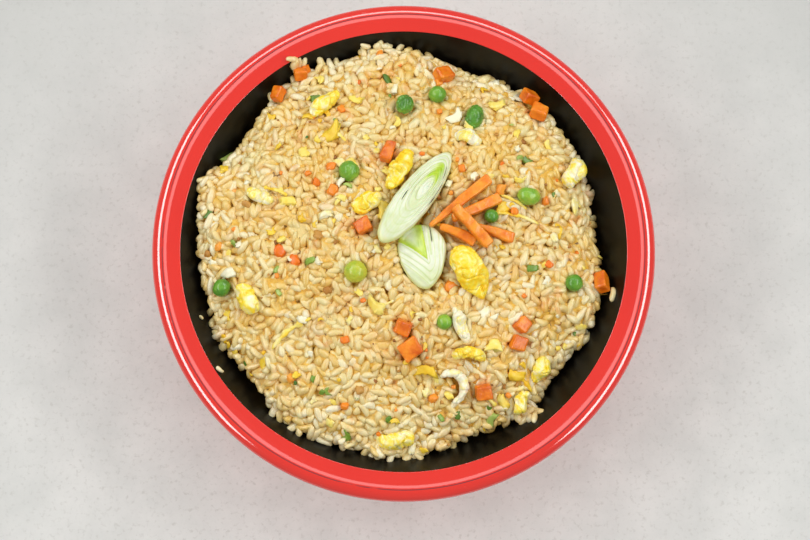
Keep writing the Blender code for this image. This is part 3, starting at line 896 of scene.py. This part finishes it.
def grainTree():
    tree = bpy.data.node_groups.new("grainsOnPoints", "GeometryNodeTree")
    face = tree.interface
    face.new_socket("Geometry", in_out="INPUT", socket_type="NodeSocketGeometry")
    for name, kind, value in (("Grain Length", "Float", 5.4 * mm), ("Grain Width", "Float", 2.7 * mm),
                              ("Grain Bend", "Float", 0.06), ("Grain Taper", "Float", 0.1),
                              ("Unevenness", "Float", 0.3 * mm), ("Seed", "Int", 3), ("Finish", "Material", None)):
        socket = face.new_socket(name, in_out="INPUT", socket_type=f"NodeSocket{kind}")
        if value is not None:
            socket.default_value = value
    face.new_socket("Geometry", in_out="OUTPUT", socket_type="NodeSocketGeometry")
    given = addNode(tree, "NodeGroupInput")
    ball = addNode(tree, "GeometryNodeMeshUVSphere", None, {"Segments": 8, "Rings": 6, "Radius": 1.0})
    spot = addNode(tree, "GeometryNodeInputPosition")
    spot = addNode(tree, "ShaderNodeSeparateXYZ", None, {0: spot})
    x, y, z = spot, spot.out("Y"), spot.out("Z")
    length, width, bend, taper = (given.out(n) for n in ("Grain Length", "Grain Width", "Grain Bend", "Grain Taper"))
    blunt = 1 - z * taper
    shape = addNode(tree, "ShaderNodeCombineXYZ", None, {
        0: z * length * 0.5,
        1: x * width * 0.5 * blunt + bend * length * (0.33 - z * z),
        2: y * width * 0.5 * blunt * (1.15 - 0.3 * y * y)})
    grain = addNode(tree, "GeometryNodeSetPosition", None, {"Geometry": ball, "Position": shape})
    turn = addNode(tree, "GeometryNodeInputNamedAttribute", {"data_type": "FLOAT_VECTOR"}, {"Name": "turn"})
    turn = addNode(tree, "FunctionNodeEulerToRotation", None, {0: turn})
    size = addNode(tree, "GeometryNodeInputNamedAttribute", {"data_type": "FLOAT_VECTOR"}, {"Name": "size"})
    chance = addNode(tree, "FunctionNodeRandomValue", {"data_type": "FLOAT"},
                     {2: 0.96, 3: 1.04, "Seed": given.out("Seed")}, 1)
    size = addNode(tree, "ShaderNodeVectorMath", {"operation": "SCALE"}, {0: size, "Scale": chance})
    laid = addNode(tree, "GeometryNodeInstanceOnPoints", None,
                   {"Points": given.out("Geometry"), "Instance": grain, "Rotation": turn, "Scale": size})
    made = addNode(tree, "GeometryNodeRealizeInstances", None, {0: laid})
    ripples = addNode(tree, "ShaderNodeTexNoise", None, {"Scale": 420.0, "Detail": 1.0}, "Color")
    ripples = addNode(tree, "ShaderNodeVectorMath", {"operation": "SUBTRACT"}, {0: ripples, 1: (0.5, 0.5, 0.5)})
    ripples = addNode(tree, "ShaderNodeVectorMath", {"operation": "SCALE"},
                      {0: ripples, "Scale": given.out("Unevenness") * 2})
    made = addNode(tree, "GeometryNodeSetPosition", None, {"Geometry": made, "Offset": ripples})
    made = addNode(tree, "GeometryNodeSetShadeSmooth", None, {"Geometry": made})
    made = addNode(tree, "GeometryNodeSetMaterial", None, {"Geometry": made, "Material": given.out("Finish")})
    addNode(tree, "NodeGroupOutput", None, {"Geometry": made}, None)
    return tree


def stained(f, colour):  # broad patches of frying oil, and of paler and rosier rice
    rosy = f.between(f.noise(120, 2, 0.5), 0.48, 0.62)
    pale = f.between(f.noise(88, 2, 0.5, 0.4), 0.52, 0.66)
    golden = f.between(f.noise(58, 4, 0.65), 0.48, 0.66)
    fried = f.between(f.noise(105, 3, 0.6), 0.6, 0.7)
    colour = f.mix(rosy * 0.35, colour, (230, 190, 140))
    colour = f.mix(pale * 0.5, colour, (232, 224, 170))
    colour = f.mix(golden * 0.5, colour, (236, 188, 66))
    return f.mix(fried * 0.45, colour, (226, 142, 40))


def makeRiceFinish():
    f = Finish("cookedRice", Roughness=0.42)
    tint = f.attribute("tint") + (f.noise(260, 2) - 0.5) * 0.3
    colour = f.ramp(tint, [(0.0, (241, 232, 197)), (0.25, (238, 220, 162)), (0.5, (233, 205, 130)),
                           (0.75, (227, 191, 104)), (1.0, (208, 155, 68))])
    colour = stained(f, colour)
    # painted shade: the sides of each grain that turn from the camera are painted darker golden, standing in for the
    # shade and glow of a translucent grain
    paintedEdgeShade = f.node("ShaderNodeLayerWeight", None, {"Blend": 0.5}, "Facing")
    colour = f.mix(f.between(paintedEdgeShade, 0.3, 0.9) * 0.5, colour, (228, 174, 56))
    f.shader.inputs["Subsurface Weight"].default_value = 0.15
    f.shader.inputs["Subsurface Radius"].default_value = (1.0, 0.75, 0.45)
    f.shader.inputs["Subsurface Scale"].default_value = 0.001
    f.shader.inputs["Specular IOR Level"].default_value = 0.7
    return f.feed(Base_Color=colour, Roughness=f.noise(500, 2) * 0.25 + 0.17,
                  Normal=f.bump(f.noise(900, 2), 0.3, 0.0004))


def addModifierInputs(modifier, values):
    for item in modifier.node_group.interface.items_tree:
        if item.in_out == "INPUT" and item.name in values:
            modifier[item.identifier] = values[item.name]


riceKinds = {  # the kinds of grain, their share, and how they differ
    "riceLongGrains": {"share": 0.34, "Grain Length": 5.7, "Grain Width": 2.55, "Grain Bend": 0.05, "Grain Taper": 0.10},
    "riceCurvedGrains": {"share": 0.33, "Grain Length": 5.3, "Grain Width": 2.65, "Grain Bend": 0.12, "Grain Taper": 0.16},
    "ricePlumpGrains": {"share": 0.33, "Grain Length": 5.0, "Grain Width": 2.95, "Grain Bend": 0.02, "Grain Taper": 0.05},
    "riceBrokenGrains": {"share": 0.0, "Grain Length": 3.2, "Grain Width": 2.7, "Grain Bend": 0.04, "Grain Taper": 0.3},
}


def makeRice(grains, rng):
    tree, finish = grainTree(), makeRiceFinish()
    names = list(riceKinds)
    shares = [riceKinds[n]["share"] for n in names[:3]]
    kindOf = [3 if g[8] else int(rng.choice(3, p=np.array(shares) / sum(shares))) for g in grains]
    patches = waves(rng, 16.0, np.array([g[0] for g in grains]), np.array([g[1] for g in grains]))
    for number, name in enumerate(names):
        kind = riceKinds[name]
        mine = [k for k, which in enumerate(kindOf) if which == number]
        mesh = newMesh(name + "Points", [grains[k][:3] for k in mine], [])
        turns, sizes, tints = [], [], []
        for k in mine:
            x, y, z, yaw, slopeU, slopeV, length, width, _ = grains[k]
            turns.append(turnOf(yaw, slopeU, slopeV, rng.uniform(0, 2 * math.pi)))
            sizes.append((length / kind["Grain Length"], width / kind["Grain Width"], width / kind["Grain Width"]))
            paler = 0.22 * min(1.0, max(0.0, (math.hypot(x, y) - 70) / 10))
            tints.append(np.clip(0.44 + 0.14 * patches[k] - paler + rng.normal(0, 0.15), 0.02, 0.98))
        addAttribute(mesh, "turn", "FLOAT_VECTOR", turns)
        addAttribute(mesh, "size", "FLOAT_VECTOR", sizes)
        addAttribute(mesh, "tint", "FLOAT", tints)
        piece = newObject(name, mesh, finish, smooth=False)
        modifier = piece.modifiers.new("grains", "NODES")
        modifier.node_group = tree
        addModifierInputs(modifier, {"Grain Length": kind["Grain Length"] * mm, "Grain Width": kind["Grain Width"] * mm,
                                     "Grain Bend": kind["Grain Bend"], "Grain Taper": kind["Grain Taper"],
                                     "Unevenness": riceShape["unevenness"] * mm,
                                     "Seed": number, "Finish": finish})
        applied(piece)
        for unwanted in ("turn", "size"):
            if unwanted in piece.data.attributes:
                piece.data.attributes.remove(piece.data.attributes[unwanted])
        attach(piece, "root")
        say(f"{name}: {len(mine)} grains, {len(piece.data.polygons)} faces")


# Small bits in the rice, and crumbs on it

bitShape = {
    "carrotBits": {  # places with sizes, then how many more lie about and their sizes
        "places": ((-10, 84, 3.4), (-30, 32, 3.6), (-29, 22, 4.4), (-45, -7, 4.6), (-51, -3, 5.2), (19, -17, 4.4),
                   (59, 19, 3.2), (46, 14, 3.0), (-26, 58, 3.0), (-24, -66, 3.0), (-46, -55, 3.2), (15, 71, 3.0),
                   (40, 23, 4.0), (24, 31, 3.0), (-42, 77.5, 3.6), (-77, 0, 3.6), (-24, -40, 3.2), (60, -8, 3.0),
                   (12, -63, 3.4), (-36, 26, 3.2)),
        "more": 30, "sizes": (1.1, 2.2), "flat": (0.55, 0.9), "long": (0.8, 1.5), "lump": 0.15, "square": 4.0},
    "eggBits": {
        "places": ((39, 60, 5.0), (-42, 39, 4.4), (-73, -11, 5.4), (9, -51.5, 6.0), (37, -41.5, 5.6), (41, -64, 5.0),
                   (-11, -26.6, 6.4), (-30, 46, 7.0), (41.4, 15.7, 5.0), (72, 18, 5.2), (-8, 14, 5.6), (-6, 30, 4.6), (-32, 12, 4.2), (22, 54, 5.0), (-20, 62, 4.2),
                   (-48, 18, 5.0), (-58, -48, 5.0), (33, -28, 4.6), (46, -54, 5.6), (-26, 34, 4.4)),
        "more": 110, "sizes": (1.4, 3.8), "flat": (0.3, 0.5), "long": (1.0, 2.3), "lump": 0.4, "square": 3.0},
    "greenBits": {
        "places": ((-75, 41, 5.4), (-81, 14, 3.4), (-23, -79, 3.6), (36, -71, 4.2), (53, -10, 3.6), (-37, 63, 3.4),
                   (-7, 72, 3.8), (-38, -7, 3.4), (51, 36, 3.2), (-6, -72, 2.6), (22, -70, 2.8)),
        "more": 20, "sizes": (1.0, 2.4), "flat": (0.3, 0.5), "long": (1.3, 2.1), "lump": 0.3, "square": 5.0},
    "brownBits": {
        "places": ((-65, 17, 3.4), (-82, -3, 3.2), (-35, 3, 3.8), (-31, -20, 3.0), (14, 20, 2.6), (50, 44, 2.6),
                   (-18, -60, 3.4), (30, -54, 2.4)),
        "more": 64, "sizes": (0.7, 1.6), "flat": (0.45, 0.8), "long": (0.9, 1.8), "lump": 0.3, "square": 2.4},
}


def bitBall(square):  # a cube of small faces, rounded off; higher is squarer
    bm = bmesh.new()
    bmesh.ops.create_cube(bm, size=2)
    bmesh.ops.subdivide_edges(bm, edges=bm.edges, cuts=3, use_grid_fill=True)
    points = np.array([v.co for v in bm.verts])
    faces = [tuple(v.index for v in f.verts) for f in bm.faces]
    bm.free()
    size = (np.abs(points) ** square).sum(1) ** (1 / square)
    return points / size[:, None], faces


def reserve(x, y, reach, level):  # keeps the grains off a round spot
    near = np.hypot(bed["x"] - x, bed["y"] - y) < reach
    bed["taken"] |= near
    bed["height"][near] = np.maximum(bed["height"][near], level)


def layBits(name, finish, rng):
    kind = bitShape[name]
    ball, ballFaces = bitBall(kind["square"])
    spots = [(x, y, size, 1.0) for x, y, size in kind["places"]]
    while len(spots) < len(kind["places"]) + kind["more"]:
        radius, angle = 86 * math.sqrt(rng.uniform()), rng.uniform(0, 2 * math.pi)
        x, y = radius * math.cos(angle), radius * math.sin(angle)
        if bedAt("inner", x, y) > 0.9 and bedAt("taken", x, y) < 0.1:
            spots.append((x, y, rng.uniform(*kind["sizes"]), 0.0))
    points, faces, tones = [], [], []
    for x, y, size, isLarge in spots:
        long, flat = rng.uniform(*kind["long"]), rng.uniform(*kind["flat"])
        half = np.array([size * long, size, size * flat * 1.15]) / 2 / math.sqrt(long)
        shift = rng.uniform(0, 90, 3)
        swell = [1 + kind["lump"] * (1.6 * noise.noise(Vector(p * 1.15 + shift)) + noise.noise(Vector(p * 2.9 + shift)))
                 for p in ball]
        shape = ball * np.array(swell)[:, None] * half
        bend = rng.uniform(-0.5, 0.5) * (long - 0.6)
        shape[:, 1] += bend * shape[:, 0] ** 2 / half[0]
        step = 1.5
        slope = [(bedAt("target", x + step, y) - bedAt("target", x - step, y)) / (2 * step),
                 (bedAt("target", x, y + step) - bedAt("target", x, y - step)) / (2 * step)]
        yaw = rng.uniform(0, 2 * math.pi)
        c, t = math.cos(yaw), math.sin(yaw)
        slopeU, slopeV = slope[0] * c + slope[1] * t, slope[1] * c - slope[0] * t
        tip = rng.normal(0, 0.22, 2)
        turn = turnOf(yaw, float(np.clip(slopeU + tip[0], -1, 1)), float(np.clip(slopeV + tip[1], -1, 1)), 0)
        level = bedAt("target", x, y) + 0.35 - half[2] * (0.25 if isLarge else -0.2)
        shape = shape @ np.array(turn.to_matrix()).T + (x, y, level)
        faces += [tuple(i + len(points) * len(ball) for i in f) for f in ballFaces]
        points.append(shape)
        tones += [rng.uniform()] * len(ball)
        reserve(x, y, 0.42 * size * (1.0 if isLarge else 0.8), level - 0.4)
    mesh = newMesh(name, np.vstack(points), faces)
    addAttribute(mesh, "tone", "FLOAT", tones)
    piece = newObject(name, mesh, finish)
    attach(piece, "root")
    say(f"{name}: {len(spots)}")


threadShape = {
    "ends": ((-54, -43, -37.5, -31, 0.85), (-50, -37, -41, -33.5, 0.7), (37, 13, 56, 9, 0.8), (40, 21, 51, 15, 0.7), (-31, 49, -24, 43, 0.8),
             (45, -52, 53, -60, 0.8), (-12, -29, -4, -24, 0.7), (30, -60, 38, -66, 0.9), (-58, 24, -48, 20, 0.7)),
    "bend": 0.14,
    "lift": 0.75,
}


def makeThreads(finish):  # strands of egg: from x, y to x, y, and how thick
    rng = np.random.default_rng(5)
    turn = np.linspace(0, 2 * math.pi, 8, endpoint=False)
    points, faces = [], []
    for x, y, endX, endY, size in threadShape["ends"]:
        start, end = np.array((x, y)), np.array((endX, endY))
        side = np.array((-(end - start)[1], (end - start)[0])) * threadShape["bend"] * rng.uniform(0.6, 1.4)
        middle = (start + end) / 2 + side
        path = []
        for t in np.linspace(0, 1, 22):
            spot = (1 - t) ** 2 * start + 2 * t * (1 - t) * middle + t * t * end
            lift = threadShape["lift"] + 0.5 * noise.noise(Vector((*spot, 1)) / 2.2)
            path.append((*spot, bedAt("target", *spot) + lift))
        path = np.array(path)
        along = np.gradient(path, axis=0)
        across = np.cross((0, 0, 1), along)
        across /= np.linalg.norm(across, axis=1)[:, None]
        first = len(points) * 1
        for k, (spot, side) in enumerate(zip(path, across)):
            wide = size * (1 + 0.7 * noise.noise(Vector(spot) / 1.8)) * min(1, (k + 0.6) / 2, (len(path) - k - 0.4) / 2)
            points += [spot + side * wide * math.cos(a) + np.array((0, 0, wide * 0.6 * math.sin(a))) for a in turn]
        faces += [tuple(i + first for i in f) for f in gridFaces(len(path), len(turn))]
        faces.append(tuple(range(first + 7, first - 1, -1)))
        faces.append(tuple(range(first + 8 * (len(path) - 1), first + 8 * len(path))))
    mesh = newMesh("eggThreads", points, faces)
    bm = bmesh.new()
    bm.from_mesh(mesh)
    bmesh.ops.recalc_face_normals(bm, faces=bm.faces)
    bm.to_mesh(mesh)
    bm.free()
    addAttribute(mesh, "tone", "FLOAT", [0.35 + 0.6 * noise.noise(Vector(p) / 6) for p in points])
    piece = newObject("eggThreads", mesh, finish)
    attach(piece, "root")


def makeBitFinish(name, stops, roughness, spread=0.35):
    f = Finish(name, Roughness=roughness)
    tone = f.attribute("tone") + (f.noise(420, 3, 0.55) - 0.5) * spread * 2
    f.shader.inputs["Coat Weight"].default_value = 0.08
    return f.feed(Base_Color=f.ramp(tone, stops), Normal=f.bump(f.noise(700, 3), 0.3, 0.0005))


def makeBits():
    rng = np.random.default_rng(23)
    layBits("carrotBits", makeBitFinish("carrotCrumb", [(0.0, (236, 112, 14)), (0.5, (246, 138, 26)),
                                                        (1.0, (252, 170, 62))], 0.36, 0.2), rng)
    crumb = makeBitFinish("eggCrumb", [(0.0, (238, 186, 26)), (0.3, (248, 212, 62)), (0.55, (248, 228, 120)),
                                       (0.85, (246, 240, 206))], 0.38)
    layBits("eggBits", crumb, rng)
    makeThreads(crumb)
    layBits("greenBits", makeBitFinish("scallionSkin", [(0.0, (72, 112, 30)), (0.5, (124, 158, 48)),
                                                        (1.0, (188, 206, 108))], 0.32, 0.25), rng)
    layBits("brownBits", makeBitFinish("brownedCrumb", [(0.0, (136, 80, 20)), (0.5, (182, 122, 44)),
                                                        (1.0, (214, 162, 78))], 0.5), rng)


makeBits()
grains, rng = pourRice()
makeRice(grains, rng)


# Core: the sticky mass between the grains, just under their tops, coloured golden brown as painted shade of the gaps
# between the grains

coreShape = {
    "rings": 104,
    "sides": 560,
    "depth": 0.25,  # under the smoothed tops of the grains
    "swell": 1.9,  # how far it rises round the grains where they are softest
    "relief": 0.65,
    "pits": 2.2,
    "edge": 2.2,  # how far in from the wall the mass ends
}


def smoothed(field, times):
    for _ in range(times):
        field = (field * 2 + np.roll(field, 1, 0) + np.roll(field, -1, 0)
                 + np.roll(field, 1, 1) + np.roll(field, -1, 1)) / 6
    return field


def makeCore():
    s = coreShape
    level = smoothed(np.minimum(bed["height"], bed["target"] + 1.0), 5)
    turn = np.linspace(0, 2 * math.pi, s["sides"], endpoint=False)
    reach = np.zeros(s["sides"])
    for k, angle in enumerate(turn):  # where the surface of the rice meets the wall
        r = np.linspace(70, 93, 120)
        gap = readFine(bed["target"], bed["axis"], r * math.cos(angle), r * math.sin(angle)) - wallHeight(r)
        reach[k] = (r[np.argmax(gap < 0.8)] if (gap < 0.8).any() else 88) - s["edge"]
    rows = []
    for share in np.linspace(0.01, 1, s["rings"]):
        r = reach * share
        x, y = r * np.cos(turn), r * np.sin(turn)
        spots = [Vector((a, b, 3)) for a, b in zip(x, y)]
        bumps = np.array([noise.noise(spot / 1.7) for spot in spots])
        pits = np.array([max(0.0, noise.noise(spot / 2.6) - 0.24) for spot in spots])
        soft = np.array([max(0.0, noise.noise(spot / 9 + Vector((7, 0, 0))) - 0.1) for spot in spots])
        z = readFine(level, bed["axis"], x, y) - s["depth"] + s["relief"] * bumps - s["pits"] * 3 * pits
        z += s["swell"] * np.minimum(soft, 0.4)
        z -= 1.6 * max(0.0, share - 0.93) / 0.07
        z = np.minimum(z, readFine(bed["target"], bed["axis"], x, y) - 0.5)
        rows.append(np.stack([x, y, np.maximum(z, wallHeight(r) - 0.6)], -1))
    for share in np.linspace(1, 0.05, 20):
        r = (reach + 0.3) * share
        rows.append(np.stack([r * np.cos(turn), r * np.sin(turn), wallHeight(r) - 1.0], -1))
    points = np.vstack(rows + [[(0, 0, rows[0][:, 2].mean())], [(0, 0, wallHeight(0) - 1.0)]])
    faces = gridFaces(len(rows), s["sides"])
    last = (len(rows) - 1) * s["sides"]
    top, bottom = len(points) - 2, len(points) - 1
    for i in range(s["sides"]):
        j = (i + 1) % s["sides"]
        faces.append((top, j, i))
        faces.append((bottom, last + i, last + j))
    return newMesh("riceCore", points, [f[::-1] for f in faces])


def makeCoreFinish():
    f = Finish("riceCoreFinish", Roughness=0.45)
    # painted shade: the core's golden-brown colour stands for the shade in the gaps between the grains
    colour = f.ramp(f.noise(330, 4, 0.6), [(0.3, (192, 128, 28)), (0.44, (222, 169, 54)), (0.66, (234, 195, 90))])
    colour = stained(f, colour)
    # painted shade: small dark brown specks stand for the shade in pits between the grains
    paintedPitShade = f.between(f.noise(300, 3, 0.7), 0.61, 0.66)
    colour = f.mix(paintedPitShade * 0.85, colour, (110, 70, 30))
    return f.feed(Base_Color=colour, Normal=f.bump(f.noise(700, 3), 0.5, 0.001))


core = newObject("riceCore", makeCore(), makeCoreFinish())
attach(core, "root")
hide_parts("rice_heap")
say("core made")


# Floor, lights and camera

stageShape = {
    "floor": 8.0,
    "aim": (0.57, -10.1, 72.0),
    "distance": 600.0,
    "lean": 8.88,  # of the camera from straight above
    "lens": 64.4,
}


def makeFloor():
    mesh = bpy.data.meshes.new("floor")
    bm = bmesh.new()
    bmesh.ops.create_grid(bm, x_segments=1, y_segments=1, size=stageShape["floor"] / 2)
    bm.to_mesh(mesh)
    bm.free()
    f = Finish("paleFloor", Roughness=0.7)
    colour = f.ramp(f.noise(35, 6, 0.65), [(0.35, (217, 218, 214)), (0.65, (229, 229, 225))])
    colour = f.mix(f.between(f.noise(420, 4, 0.7), 0.52, 0.7) * 0.5, colour, (190, 189, 182))
    # painted shade: the floor is painted darker away from a spot just south of the bowl's middle, as a painted pool of
    # light that falls off towards the edges
    place = f.node("ShaderNodeVectorMath", {"operation": "ADD"}, {0: f.place(), 1: (0, 0.05, 0)})
    away = f.node("ShaderNodeVectorMath", {"operation": "LENGTH"}, {0: place}, "Value")
    colour = f.mix(f.between(away, 0.1, 0.32) * 0.85, colour, (178, 179, 175))
    mesh.materials.append(f.feed(Base_Color=colour))
    floor = bpy.data.objects.new("floor", mesh)
    bpy.context.scene.collection.objects.link(floor)


def addLight(name, place, size, power, colour=(1, 1, 1)):
    data = bpy.data.lights.new(name, "AREA")
    data.shape = "RECTANGLE"
    data.size, data.size_y = size
    data.energy = power
    data.color = colour
    lamp = bpy.data.objects.new(name, data)
    lamp.location = place
    aim = (Vector((0, 0, 0.07)) - Vector(place)).normalized()
    side = aim.cross(Vector((0, 0, 1) if abs(aim.z) < 0.9 else (0, 1, 0))).normalized()  # the long way lies level
    lamp.rotation_euler = Matrix((side, side.cross(aim), -aim)).transposed().to_euler()
    bpy.context.scene.collection.objects.link(lamp)


def makeStage():
    makeFloor()
    addLight("leftStrip", (-0.78, 0.0, 0.86), (1.4, 0.3), 7.3)
    addLight("rightStrip", (0.78, 0.0, 0.86), (1.4, 0.3), 7.3)
    addLight("backStrip", (0.0, 0.84, 0.92), (1.6, 0.24), 4.2)
    addLight("topPanel", (0.0, 0.26, 1.4), (0.36, 0.36), 0.45)
    world = bpy.data.worlds.new("studio")
    bpy.context.scene.world = world
    world.use_nodes = True
    world.node_tree.nodes["Background"].inputs["Color"].default_value = (1.0, 0.99, 0.97, 1)
    world.node_tree.nodes["Background"].inputs["Strength"].default_value = 0.28
    data = bpy.data.cameras.new("camera")
    data.lens = stageShape["lens"]
    data.clip_start, data.clip_end = 0.01, 20
    camera = bpy.data.objects.new("camera", data)
    lean = math.radians(stageShape["lean"])
    back = Vector((0, -math.sin(lean), math.cos(lean)))
    camera.location = (Vector(stageShape["aim"]) + back * stageShape["distance"]) * mm
    camera.rotation_euler = (lean, 0, 0)
    bpy.context.scene.collection.objects.link(camera)
    bpy.context.scene.camera = camera
    bpy.context.scene.view_settings.view_transform = "Standard"


makeStage()
say("stage set")
